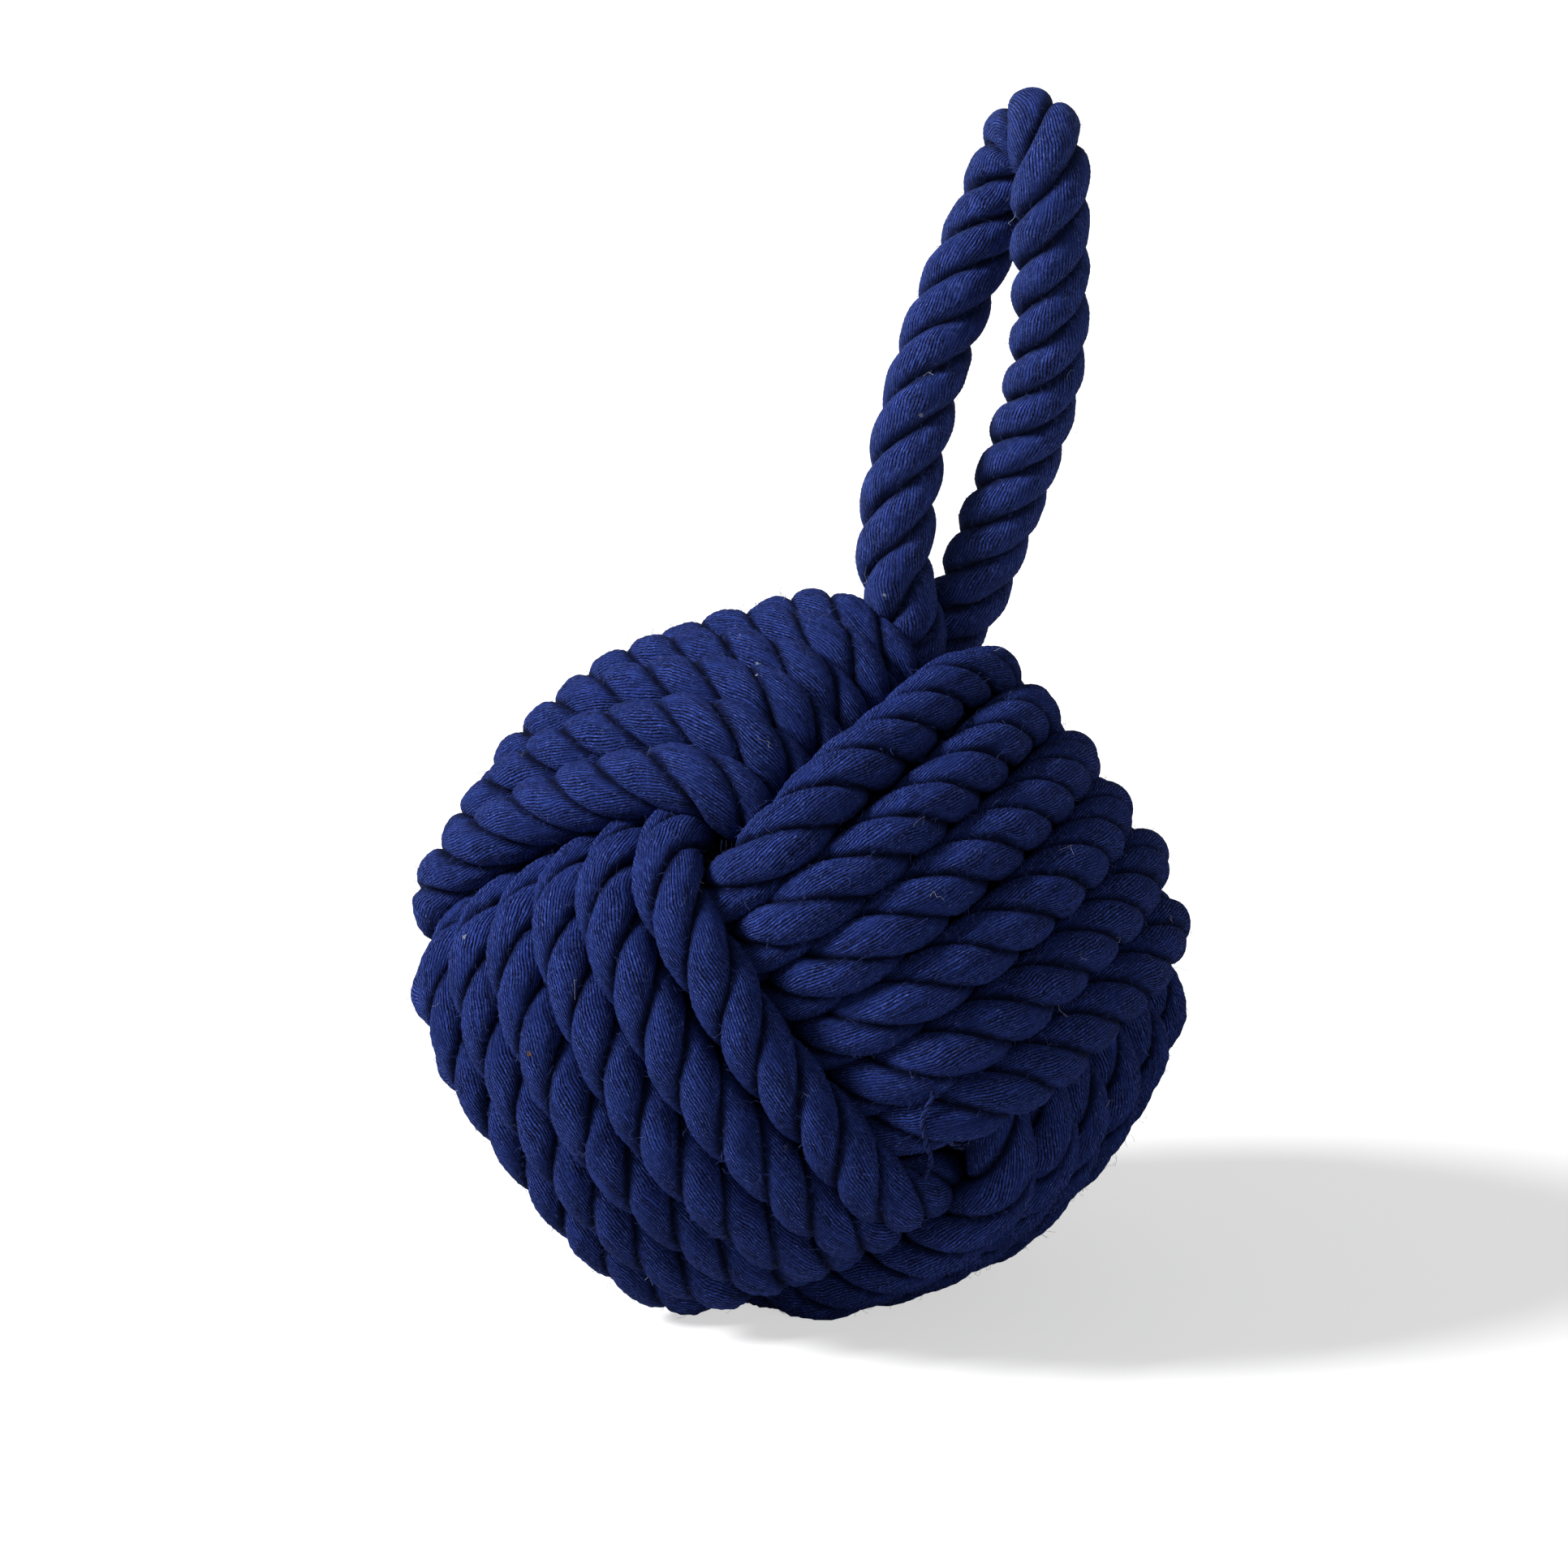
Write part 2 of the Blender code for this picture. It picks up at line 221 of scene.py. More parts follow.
def laidRopeTree():
    # each strand is a sheet rolled up round the rope's path, which carries the rope's radius and its lays
    tree = bpy.data.node_groups.new("laidRope", "GeometryNodeTree")
    asked = groupInputs(tree, (
        ("Path", "Geometry", None),
        ("Strands", "Int", 3),
        ("Around", "Int", 22),
        ("Rows", "Int", 900),
        ("Strand Reach", "Float", 0.46),
        ("Strand Height", "Float", 0.54),
        ("Strand Width", "Float", 0.66),
        ("Softness", "Float", 0.05),
        ("Puffs", "Float", 6.0),
        ("Floor", "Float", 0.0),
        ("Seed", "Float", 0.0),
        ("Material", "Material", None),
    ))
    curve = addNode(tree, "GeometryNodeMeshToCurve", {"Mesh": asked["Path"]}).outputs[0]

    grid = addNode(tree, "GeometryNodeMeshGrid", {
        "Size X": 1.0, "Size Y": 1.0,
        "Vertices X": plus(asked["Around"], 1.0), "Vertices Y": asked["Rows"],
    }).outputs[0]
    single = addNode(tree, "GeometryNodeGeometryToInstance", {"Geometry": grid}).outputs[0]
    several = addNode(tree, "GeometryNodeDuplicateElements", {
        "Geometry": single, "Amount": asked["Strands"]}, domain="INSTANCE").outputs
    numbered = storeNamed(several[0], "strand", several[1], "FLOAT", "INSTANCE")
    sheets = addNode(tree, "GeometryNodeRealizeInstances", {"Geometry": numbered}).outputs[0]

    place = split(addNode(tree, "GeometryNodeInputPosition").outputs[0])
    across = plus(place[0], 0.5)
    along = plus(place[1], 0.5, clamp=True)
    strand = readNamed(tree, "strand")
    sample = addNode(tree, "GeometryNodeSampleCurve", {
        "Curves": curve, "Value": readNamed(tree, "carried", "FLOAT_VECTOR"), "Factor": along,
    }, mode="FACTOR", data_type="FLOAT_VECTOR").outputs
    radius, lays = split(sample["Value"])[:2]
    mapped = join(plus(across, times(strand, laying["mapStep"])), lays)
    sheets = storeNamed(sheets, "ropeMap", mapped, "FLOAT2", "CORNER")

    # soft strands: their size and place drift along the rope
    driftAt = join(times(lays, asked["Puffs"]), times(strand, laying["strandApart"]), asked["Seed"])
    drift = split(centredNoise(driftAt, 1.0, 1.0, times(asked["Softness"], laying["driftGain"])))

    third = vectorCalc("CROSS_PRODUCT", sample["Tangent"], sample["Normal"])
    lay = times(plus(lays, calc("DIVIDE", strand, asked["Strands"])), 2 * math.pi)
    lay = plus(lay, times(drift[0], laying["layDrift"]))
    cosine = calc("COSINE", lay)
    sine = calc("SINE", lay)
    outward = vectorCalc("ADD", vectorCalc("SCALE", sample["Normal"], cosine),
                         vectorCalc("SCALE", third, sine))
    sideways = vectorCalc("SUBTRACT", vectorCalc("SCALE", third, cosine),
                          vectorCalc("SCALE", sample["Normal"], sine))
    turn = times(minus(across, 0.5), 2 * math.pi)
    nearEnd = calc("MINIMUM", along, minus(1.0, along))
    closing = times(nearEnd, times(asked["Rows"], laying["endRows"]), clamp=True)
    closing = calc("POWER", closing, laying["endRound"])
    height = times(asked["Strand Height"], plus(1.0, drift[1]))
    width = times(asked["Strand Width"], plus(1.0, drift[2]))
    high = times(calc("COSINE", turn), height)
    wide = times(calc("SINE", turn), width)
    high = plus(asked["Strand Reach"], times(high, closing))
    wide = times(wide, closing)
    spot = vectorCalc("ADD", sample["Position"], vectorCalc("SCALE", outward, times(high, radius)))
    spot = vectorCalc("ADD", spot, vectorCalc("SCALE", sideways, times(wide, radius)))
    spot = lifted(spot, asked["Floor"])
    bent = addNode(tree, "GeometryNodeSetPosition", {"Geometry": sheets, "Position": spot}).outputs[0]
    closed = addNode(tree, "GeometryNodeMergeByDistance", {
        "Geometry": bent, "Distance": laying["mergeDistance"]}).outputs[0]
    smooth = addNode(tree, "GeometryNodeSetShadeSmooth", {"Geometry": closed}).outputs[0]
    endTree(smooth, asked["Material"])
    return tree


ropeTree = laidRopeTree()


def layRope(name, path, radii, layLengths, settings, material, seed):
    # radii and layLengths are one number, or one for each point of the path
    radii = np.broadcast_to(radii, len(path))
    layLengths = np.broadcast_to(layLengths, len(path))
    mesh = bpy.data.meshes.new(name + "Path")
    mesh.from_pydata([tuple(point) for point in path], [(i, i + 1) for i in range(len(path) - 1)], [])
    carried = mesh.attributes.new("carried", "FLOAT_VECTOR", "POINT")
    lays = settings["firstLay"]
    values = []
    length = 0.0
    for i, point in enumerate(path):
        if i:
            step = (point - path[i - 1]).length
            length += step
            lays += step / layLengths[i]
        values += [radii[i], lays, 0.0]
    carried.data.foreach_set("vector", values)
    holder = addObject(name + "Path", mesh)
    made = runTree(holder, ropeTree, {
        **settings,
        "Rows": round(length / settings["rowStep"]),
        "Floor": laying["aboveFloor"],
        "Seed": seed,
        "Material": material,
    })
    bpy.data.objects.remove(holder, do_unlink=True)
    made.uv_layers.active = made.uv_layers["ropeMap"]
    print(name, "length", round(length, 3), "triangles", sum(len(p.vertices) - 2 for p in made.polygons))
    return pieceFrom(made, name)


yarnPattern = {
    "wander": (0.085, 0.075),  # noise scales across the yarns and along them, per yarn's width
    "jitter": (0.80, 0.45),
    "jitterShare": 0.7,
    "tone": (7.31, 0.12),
    "gap": (5.17, 0.10),
    "gapSpread": (3.4, -0.50),  # gain and shift, which turn a noise into a mask
    "matted": (0.11, 0.085),
    "mattedSpread": (5.0, -2.35),
    "fibres": 3.6,
    "fibreSlant": (0.7, 0.85),
    "domePower": 0.6,
    "grooveSide": (0.44, 0.84),  # where the groove starts and ends, from a yarn's middle to its edge
    "crownSide": (0.285, 0.18),  # turns from the strand's outermost line
    "groovesMatted": -0.55,
    "heightMatted": -0.6,
    "heightShares": {"grooveDepthAndShade": 0.8, "yarn": 0.62, "tone": 0.5},
}


def yarnGroup():
    # yarns of a laid strand, from the rope's own map: across the strand, and along it in lays
    tree = bpy.data.node_groups.new("strandYarns", "ShaderNodeTree")
    asked = groupInputs(tree, (
        ("Yarns", "Float", 44.0),
        ("Back Twist", "Float", 1.2),
        ("Lay In Yarns", "Float", 46.0),
        ("Wander", "Float", 2.2),
    ))
    place = split(addNode(tree, "ShaderNodeUVMap", uv_map="ropeMap").outputs[0])
    along = times(place[1], asked["Lay In Yarns"])
    count = times(plus(place[0], times(place[1], asked["Back Twist"])), asked["Yarns"])

    def cloudy(over, scales, detail, roughness=0.5):
        # noise stretched differently across the yarns and along them
        spot = join(times(over, scales[0]), times(along, scales[1]))
        return noise(spot, 1.0, detail, roughness)[0]

    def moved(number, by, share):
        return plus(number, times(minus(by, 0.5), share))

    def mask(value, spread):
        return calc("MULTIPLY_ADD", value, *spread, clamp=True)

    def lessened(value, by, share):
        return times(value, calc("MULTIPLY_ADD", by, share, 1.0))

    def eased(value, ends):
        return addNode(tree, "ShaderNodeMapRange", {
            "Value": value, "From Min": ends[0], "From Max": ends[1]}, interpolation_type="SMOOTHSTEP").outputs[0]

    count = moved(count, cloudy(count, yarnPattern["wander"], 2.0), asked["Wander"])
    count = moved(count, cloudy(count, yarnPattern["jitter"], 2.0, 0.7), yarnPattern["jitterShare"])
    yarn = calc("FLOOR", count)
    inside = minus(count, yarn)
    inside = calc("ABSOLUTE", minus(times(inside, 2.0), 1.0))
    dome = calc("POWER", minus(1.0, times(inside, inside), clamp=True), yarnPattern["domePower"])
    tone = cloudy(yarn, yarnPattern["tone"], 2.0, 0.6)
    nextYarn = calc("FLOOR", plus(count, 0.5))
    gap = mask(cloudy(nextYarn, yarnPattern["gap"], 2.0, 0.6), yarnPattern["gapSpread"])
    # where the surface is felted, single yarns hardly show
    matted = mask(cloudy(count, yarnPattern["matted"], 3.0, 0.6), yarnPattern["mattedSpread"])
    # single fibres run a little aslant in each yarn
    across, slant = yarnPattern["fibreSlant"]
    slant = plus(times(along, slant), times(count, across))
    fibres = noise(join(times(count, yarnPattern["fibres"]), slant), 1.0, 4.0, 0.8)[0]
    # the gaps between yarns: a groove in the bump, and painted shade in the colour
    grooveDepthAndShade = times(eased(inside, yarnPattern["grooveSide"]), gap)
    grooveDepthAndShade = lessened(grooveDepthAndShade, matted, yarnPattern["groovesMatted"])
    shares = yarnPattern["heightShares"]
    height = minus(dome, times(grooveDepthAndShade, shares["grooveDepthAndShade"]))
    height = times(lessened(height, matted, yarnPattern["heightMatted"]), shares["yarn"])
    height = plus(plus(height, fibres), times(tone, shares["tone"]))
    # 1 on the side of the strand that shows, 0 where it goes down to its neighbours; the material paints shade where
    # it is low, and highlight where it is high
    offCrown = calc("ABSOLUTE", minus(calc("FRACT", place[0]), 0.5))
    groupOutputs(tree, {"Height": height, "Tone": tone, "GrooveShade": grooveDepthAndShade, "Fibres": fibres, "Matted": matted,
                        "Crown": eased(offCrown, yarnPattern["crownSide"])})
    return tree


fleckEdge = {"scale": 900.0, "detail": 1.0, "strength": 0.0012}  # bends the flecks' outlines
strayPattern = {"shifts": (0.0, 3.7, 8.1), "detail": 1.5, "roughness": 0.45, "gapScale": 0.9, "gapSharpness": 9.0}


def fleckGroup():
    # sparse specks of lint and dust on Object coordinates
    tree = bpy.data.node_groups.new("cottonFlecks", "ShaderNodeTree")
    asked = groupInputs(tree, (("Spacing", "Float", 0.012), ("Size", "Float", 0.0006), ("Share", "Float", 0.5)))
    coords = objectCoords(tree)
    moved = vectorCalc("ADD", coords, centredNoise(coords, **fleckEdge))
    cells = addNode(tree, "ShaderNodeTexVoronoi", {
        "Vector": moved, "Scale": calc("DIVIDE", 1.0, asked["Spacing"]), "Randomness": 1.0}).outputs
    near = times(cells["Distance"], asked["Spacing"])
    inside = calc("LESS_THAN", near, asked["Size"])
    pick = addNode(tree, "ShaderNodeSeparateColor", {"Color": cells["Color"]}).outputs[0]
    kept = calc("LESS_THAN", pick, asked["Share"])
    groupOutputs(tree, {"Mask": times(inside, kept)})
    return tree


def strayGroup():
    # thin curved fibres lying on the rope, drawn along the level lines of three soft noises
    tree = bpy.data.node_groups.new("strayFibres", "ShaderNodeTree")
    asked = groupInputs(tree, (("Scale", "Float", 300.0), ("Width", "Float", 0.012), ("Share", "Float", 0.5)))
    coords = objectCoords(tree)
    hidden = minus(1.0, asked["Share"])
    total = None
    for shift in strayPattern["shifts"]:
        spot = vectorCalc("ADD", coords, (shift, shift * 0.7, -shift))
        line = noise(spot, asked["Scale"], strayPattern["detail"], strayPattern["roughness"])[0]
        line = calc("DIVIDE", calc("ABSOLUTE", minus(line, 0.5)), asked["Width"])
        shown = noise(spot, times(asked["Scale"], strayPattern["gapScale"]), 0.0)[0]
        shown = times(minus(shown, hidden), strayPattern["gapSharpness"], clamp=True)
        line = times(minus(1.0, line, clamp=True), shown)
        total = line if total is None else calc("MAXIMUM", total, line)
    groupOutputs(tree, {"Mask": total})
    return tree


yarns = yarnGroup()
flecks = fleckGroup()
strays = strayGroup()


def mixColours(first, second, share):
    node = addNode(share.id_data, "ShaderNodeMix", {0: share}, data_type="RGBA")
    for number, colour in ((6, first), (7, second)):
        feed(node.inputs[number], colour if isinstance(colour, bpy.types.NodeSocket) else (*colour, 1))
    return node.outputs[2]


def newMaterial(name, values):
    made = bpy.data.materials.new(name)
    made.use_nodes = True
    shader = made.node_tree.nodes["Principled BSDF"]
    for socket, value in values.items():
        shader.inputs[socket].default_value = value
    return made, made.node_tree, shader


def dress(shader, colour, height, relief):
    feed(shader.inputs["Base Color"], colour)
    bump = addNode(shader.id_data, "ShaderNodeBump", {"Height": height, "Distance": relief})
    feed(shader.inputs["Normal"], bump.outputs[0])


def cottonMaterial(name, look):
    made, tree, shader = newMaterial(name, {
        "Roughness": look["roughness"],
        "Specular IOR Level": look["specular"],
        "Sheen Weight": look["sheen"],
        "Sheen Roughness": look["sheenRoughness"],
        "Sheen Tint": (*look["sheenTint"], 1),
    })
    yarn = addNode(tree, "ShaderNodeGroup", {
        "Yarns": look["yarns"], "Back Twist": look["backTwist"]}, node_tree=yarns).outputs
    spread = look["toneSpread"]
    shade = calc("MULTIPLY_ADD", yarn["Tone"], spread, 0.5 - spread / 2, clamp=True)
    colour = mixColours(look["deep"], look["lit"], shade)
    # light fibre streaks: partly the fibres' own tone, partly a painted sheen highlight, strongest on the crown of
    # each strand
    fibreStreakAndSheen = calc("MULTIPLY_ADD", yarn["Fibres"], look["fibreSpread"],
                  -look["fibreFrom"] * look["fibreSpread"], clamp=True)
    fibreStreakAndSheen = times(fibreStreakAndSheen, calc("MULTIPLY_ADD", yarn["Matted"], -look["streakMatted"], 1.0))
    fibreStreakAndSheen = times(fibreStreakAndSheen, calc("MULTIPLY_ADD", yarn["Crown"], look["paintedSheenOnCrown"], 1 - look["paintedSheenOnCrown"]))
    colour = mixColours(colour, look["fibreToneAndSheen"], fibreStreakAndSheen)
    colour = mixColours(colour, look["matted"], times(yarn["Matted"], look["mattedShare"]))
    # painted shade in the gaps between yarns
    colour = mixColours(colour, look["grooveDepthAndShade"], yarn["GrooveShade"])
    # painted shade: each strand's sides darken toward a near-black colour where they go down to their neighbours
    unshadedCrown = calc("MULTIPLY_ADD", yarn["Crown"], look["sideShare"], 1 - look["sideShare"])
    colour = mixColours(look["side"], colour, unshadedCrown)
    stray = addNode(tree, "ShaderNodeGroup", {
        "Scale": look["strayScale"], "Width": look["strayWidth"]}, node_tree=strays).outputs[0]
    colour = mixColours(colour, look["stray"], times(stray, look["strayShare"]))
    for spacing, size, share, tint in look["flecks"]:
        fleck = addNode(tree, "ShaderNodeGroup", {
            "Spacing": spacing, "Size": size, "Share": share}, node_tree=flecks).outputs[0]
        colour = mixColours(colour, tint, times(fleck, look["fleckShare"]))
    dress(shader, colour, yarn["Height"], look["relief"])
    return made


navyLook = {
    "yarns": 44.0,
    "backTwist": 1.4,  # how far the yarns turn back against the lay
    "deep": (0.0020, 0.0046, 0.033),
    "lit": (0.0325, 0.0670, 0.375),
    # fibre streak colour: partly fibre tone, partly painted sheen highlight
    "fibreToneAndSheen": (0.1800, 0.2800, 0.930),
    "matted": (0.0090, 0.0185, 0.095),
    # painted shade colour for the gaps between yarns
    "grooveDepthAndShade": (0.0002, 0.0003, 0.0020),
    # painted shade colour for the strands' sides
    "side": (0.0004, 0.0012, 0.0100),
    "stray": (0.0400, 0.0700, 0.310),
    "toneSpread": 1.9,
    "fibreFrom": 0.53,
    "fibreSpread": 7.0,
    "streakMatted": 0.6,  # light fibre streaks, partly a painted sheen highlight, are fewer on felt, and the painted highlight in them fades off the crown of a strand
    "paintedSheenOnCrown": 0.75,
    "mattedShare": 0.5,
    # how much painted shade falls on the strands' sides
    "sideShare": 0.88,
    "strayScale": 300.0,
    "strayWidth": 0.018,
    "strayShare": 0.5,
    "relief": 0.00050,
    "roughness": 0.92,
    "specular": 0.05,
    "sheen": 0.03,
    "sheenRoughness": 0.45,
    "sheenTint": (0.20, 0.32, 1.0),
    "fleckShare": 0.85,
    "flecks": (  # spacing, size, share and colour
        (0.016, 0.0004, 0.5, (0.34, 0.36, 0.44)),
        (0.027, 0.0005, 0.5, (0.16, 0.09, 0.04)),
    ),
}
# the knot's cotton, painted lighter for the handle because the handle catches more light, with less painted shade on
# its strands' sides
handleLookPaintedLighter = {
    **navyLook,
    "backTwist": 1.6,
    "deep": (0.0024, 0.0056, 0.040),
    "lit": (0.0400, 0.0780, 0.420),
    "fibreToneAndSheen": (0.2000, 0.3000, 0.950),
    "matted": (0.0160, 0.0320, 0.150),
    "sideShare": 0.70,
    "stray": (0.0650, 0.1020, 0.380),
    "sheen": 0.08,
    "sheenTint": (0.35, 0.48, 1.0),
}
knotCotton = cottonMaterial("knotCotton", navyLook)
handleCottonPaintedLighter = cottonMaterial("handleCottonPaintedLighter", handleLookPaintedLighter)
print("cotton ready")


knot = {
    "turn": (-118.72, -124.59, -7.44),  # degrees about X, Y and Z, as in the CAD
    "middle": (-0.00009, 0.0, 0.06502),
    "tallShare": 0.95,  # the knot sags a little under its own weight
    "turns": 6,
    "outerReach": 0.06535,
    "innerReach": 0.0530,
    "cornerRise": 0.0050,  # how far the eight corners stand out beyond a round ball
    "turnStep": 12.1,
    "cornerStep": 11.0,
    "tuckStep": 11.6,
    "dive": (36.0, 23.0),  # tilts: where a change starts, and how long it takes
    "towardCorner": (15.0, 25.0),
    "towardTuck": (52.0, 25.0),
    "thinning": (38.0, 24.0),
    "outsideRadius": 0.0069,
    "tuckedRadius": 0.0057,
    "firstAngle": 67.5,
    "lastAngle": 2212.5,
    "stepSweep": 120.0,
    "degreesPerPoint": 3.0,
    "openPush": 4.5,
    "openReach": 22.0,
    "pits": (((-1, 1, -1), 2.6, 15.0), ((1, 1, -1), 1.2, 12.0)),
    "pitEnd": 60.0,
    "openSqueeze": 0.20,
    "squeezeReach": 26.0,
    "flatReach": 15.0,
    "flatFade": 26.0,
    "wander": 0.00035,  # how far a turn strays from its even place
    "strayWaves": ((0.061, 2.1, 0.0), (0.083, 4.3, 1.0), (0.047, 1.3, 2.0)),
}
rope = {
    "Strands": 3,
    "Around": 22,
    "rowStep": 0.00185,
    "layLength": 0.0347,
    "seedStep": 3.7,
    "firstLay": 0.0,
    "Strand Reach": 0.49,
    "Strand Height": 0.515,
    "Strand Width": 0.66,
    "Softness": 0.07,
    "Puffs": 5.0,
}
knotTurned = Euler([math.radians(angle) for angle in knot["turn"]]).to_matrix()
knotAxes = [knotTurned.col[i].copy() for i in range(3)]
throatAxis = (knotAxes[0] + knotAxes[1] + knotAxes[2]).normalized()
knotMiddle = Vector(knot["middle"])


def between(first, second, share):
    return first + (second - first) * share


def ease(value):
    value = min(1.0, max(0.0, value))
    return value * value * (3 - 2 * value)


def cornerShare(direction):
    # 1 at each of the knot's eight corners, 0 on its own planes
    share = 27.0
    for axis in knotAxes:
        share *= direction.dot(axis) ** 2
    return share


def settled(point):
    # the knot sags, and the turns that face the floor lie on it with their undersides level
    down = Vector((0, 0, -1))
    direction = point.normalized()
    angle = math.degrees(direction.angle(down))
    sagged = Vector((point.x, point.y, point.z * knot["tallShare"]))
    if angle >= knot["flatFade"]:
        return sagged
    lowest = knot["outerReach"] + knot["cornerRise"] * cornerShare(direction)
    level = knot["outerReach"] * math.cos(math.radians(knot["flatReach"]))
    rise = max(0.0, lowest * math.cos(math.radians(angle)) - level)
    rise *= ease((knot["flatFade"] - angle) / (knot["flatFade"] - knot["flatReach"]))
    return sagged - down * rise * knot["tallShare"]


def spreadFrom(axis, direction, length, push, reach):
    # moves a turn away from an axis, most where it is beside it
    off = math.degrees(direction.angle(axis))
    aside = (direction - axis * direction.dot(axis)).normalized()
    wider = math.radians(off + push * math.exp(-((off / reach) ** 2)))
    return (axis * math.cos(wider) + aside * math.sin(wider)) * length


def turnPoint(number, angle):
    outside, under, across = (knotAxes[(number + i) % 3] for i in range(3))
    passes = math.floor((angle - 90.0) / 360.0 + 0.5)
    intoStep = angle - 90.0 - passes * 360.0
    stepped = min(1.0, max(0.0, intoStep / knot["stepSweep"] + 0.5))
    offset = knot["turns"] - passes - stepped - (knot["turns"] - 1) / 2
    radians = math.radians(angle)
    tilt = math.degrees(math.asin(abs(math.sin(radians))))

    def faded(ends):
        return ease((tilt - ends[0]) / ends[1])

    reach = between(knot["outerReach"], knot["innerReach"], faded(knot["dive"]))
    if tilt < 45:
        spread = between(knot["turnStep"], knot["cornerStep"], faded(knot["towardCorner"]))
    else:
        spread = between(knot["cornerStep"], knot["tuckStep"], faded(knot["towardTuck"]))
    radius = between(knot["outsideRadius"], knot["tuckedRadius"], faded(knot["thinning"]))
    lean = math.radians(offset * spread)
    around = outside * math.cos(radians) + under * math.sin(radians)
    direction = around * math.cos(lean) + across * math.sin(lean)
    point = direction * (reach + knot["cornerRise"] * cornerShare(direction))
    away = math.degrees(direction.angle(throatAxis))
    point = spreadFrom(throatAxis, direction, point.length, knot["openPush"], knot["openReach"])
    for signs, push, far in knot["pits"]:
        pit = sum((knotAxes[i] * signs[i] for i in range(3)), Vector()).normalized()
        direction = point.normalized()
        if 0.01 < math.degrees(direction.angle(pit)) < knot["pitEnd"]:
            point = spreadFrom(pit, direction, point.length, push, far)
    stray = Vector([math.sin(angle * waves + number * apart + start) for waves, apart, start in knot["strayWaves"]])
    point += stray * knot["wander"]
    radius *= 1 - knot["openSqueeze"] * math.exp(-((away / knot["squeezeReach"]) ** 2))
    return settled(point), radius


def windingPath(number):
    count = int((knot["lastAngle"] - knot["firstAngle"]) / knot["degreesPerPoint"])
    points = [turnPoint(number, knot["firstAngle"] + knot["degreesPerPoint"] * i) for i in range(count + 1)]
    return [point + knotMiddle for point, radius in points], [radius for point, radius in points]


knotPieces = []
for name, node, number in (("firstWindingRope", "first_winding", 1), ("secondWindingRope", "second_winding", 0),
                           ("thirdWindingRope", "third_winding", 2)):
    path, radii = windingPath(number)
    piece = layRope(name, path, radii, rope["layLength"], rope, knotCotton, rope["seedStep"] * number)
    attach(piece, "knot")
    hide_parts(node)
    knotPieces.append(piece)
print("windings laid")


handle = {
    "Strands": 3,
    "Around": 26,
    "rowStep": 0.0010,
    "laysAt": (0.0, 0.35, 0.5, 0.65, 1.0),
    "lays": (0.0325, 0.0325, 0.0290, 0.0280, 0.0280),  # the front leg is laid longer than the rear one
    "firstLay": 0.1667,
    "Strand Reach": 0.52,
    "Strand Height": 0.49,
    "Strand Width": 0.62,
    "Softness": 0.07,
    "Puffs": 5.0,
    "radius": 0.0075,
    "throat": (0.02397, 0.01298, 0.12608),
    "hinge": (0.53965, 0.77032, -0.33968),
    "footOffset": 0.0059,
    "tailDepth": 0.012,
    "blendBelow": 0.006,  # where the bend starts and ends, from the throat
    "blendAbove": 0.016,
    "pointStep": 0.003,
    "seed": 9.1,
}
leftLeg = (
    (-0.0056, -0.0048, 0.0114), (-0.0058, -0.0037, 0.0189), (-0.0048, -0.0019, 0.0288),
    (-0.0028, 0.0002, 0.0394), (-0.0003, 0.0031, 0.0489), (0.0032, 0.0062, 0.0592),
    (0.0073, 0.0085, 0.0689), (0.0117, 0.0107, 0.0786), (0.0155, 0.0116, 0.0884),
)
crown = (
    (0.0179, 0.0097, 0.0952), (0.0205, 0.0039, 0.0987), (0.0227, -0.0018, 0.0963),
)
rightLeg = (
    (0.0233, -0.0048, 0.0904), (0.0232, -0.0052, 0.0830), (0.0234, -0.0042, 0.0725),
    (0.0233, -0.0030, 0.0608), (0.0226, -0.0018, 0.0528), (0.0209, -0.0004, 0.0439),
    (0.0178, 0.0006, 0.0337), (0.0145, 0.0014, 0.0238), (0.0118, 0.0020, 0.0167),
    (0.0094, 0.0024, 0.0096),
)


def smoothLine(points, step):
    # even points on a smooth curve through the given ones
    pieces = 20
    fine = []
    for i in range(len(points) - 1):
        before = points[max(i - 1, 0)]
        here, following = points[i], points[i + 1]
        after = points[min(i + 2, len(points) - 1)]
        for j in range(pieces):
            t = j / pieces
            fine.append(0.5 * (2 * here + (following - before) * t
                               + (2 * before - 5 * here + 4 * following - after) * t ** 2
                               + (3 * here - before - 3 * following + after) * t ** 3))
    fine.append(points[-1])
    walked = [0.0]
    for a, b in zip(fine, fine[1:]):
        walked.append(walked[-1] + (b - a).length)
    spots = np.linspace(0, walked[-1], round(walked[-1] / step) + 1)
    table = np.array([tuple(point) for point in fine])
    return [Vector([np.interp(s, walked, table[:, k]) for k in range(3)]) for s in spots]


throat = Vector(handle["throat"])
hinge = Vector(handle["hinge"]).normalized()
frontFoot = throat - hinge * handle["footOffset"]
rearFoot = throat + hinge * handle["footOffset"]
tail = throatAxis * handle["tailDepth"]
route = [frontFoot - tail, frontFoot]
route += [throat + Vector(place) for place in leftLeg + crown + rightLeg]
route += [rearFoot, rearFoot - tail]
handleLine = smoothLine(route, handle["pointStep"])
last = len(handleLine) - 1
handleLays = [np.interp(i / last, handle["laysAt"], handle["lays"]) for i in range(last + 1)]
handlePiece = layRope("handleRope", handleLine, handle["radius"], handleLays, handle, handleCottonPaintedLighter, handle["seed"])
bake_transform(handlePiece)
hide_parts("handle_loop")
print("handle laid")


fibrePattern = {"points": 6, "bendScale": 650.0, "bendGain": 4.0, "salts": (11.0, 23.0, 37.0)}


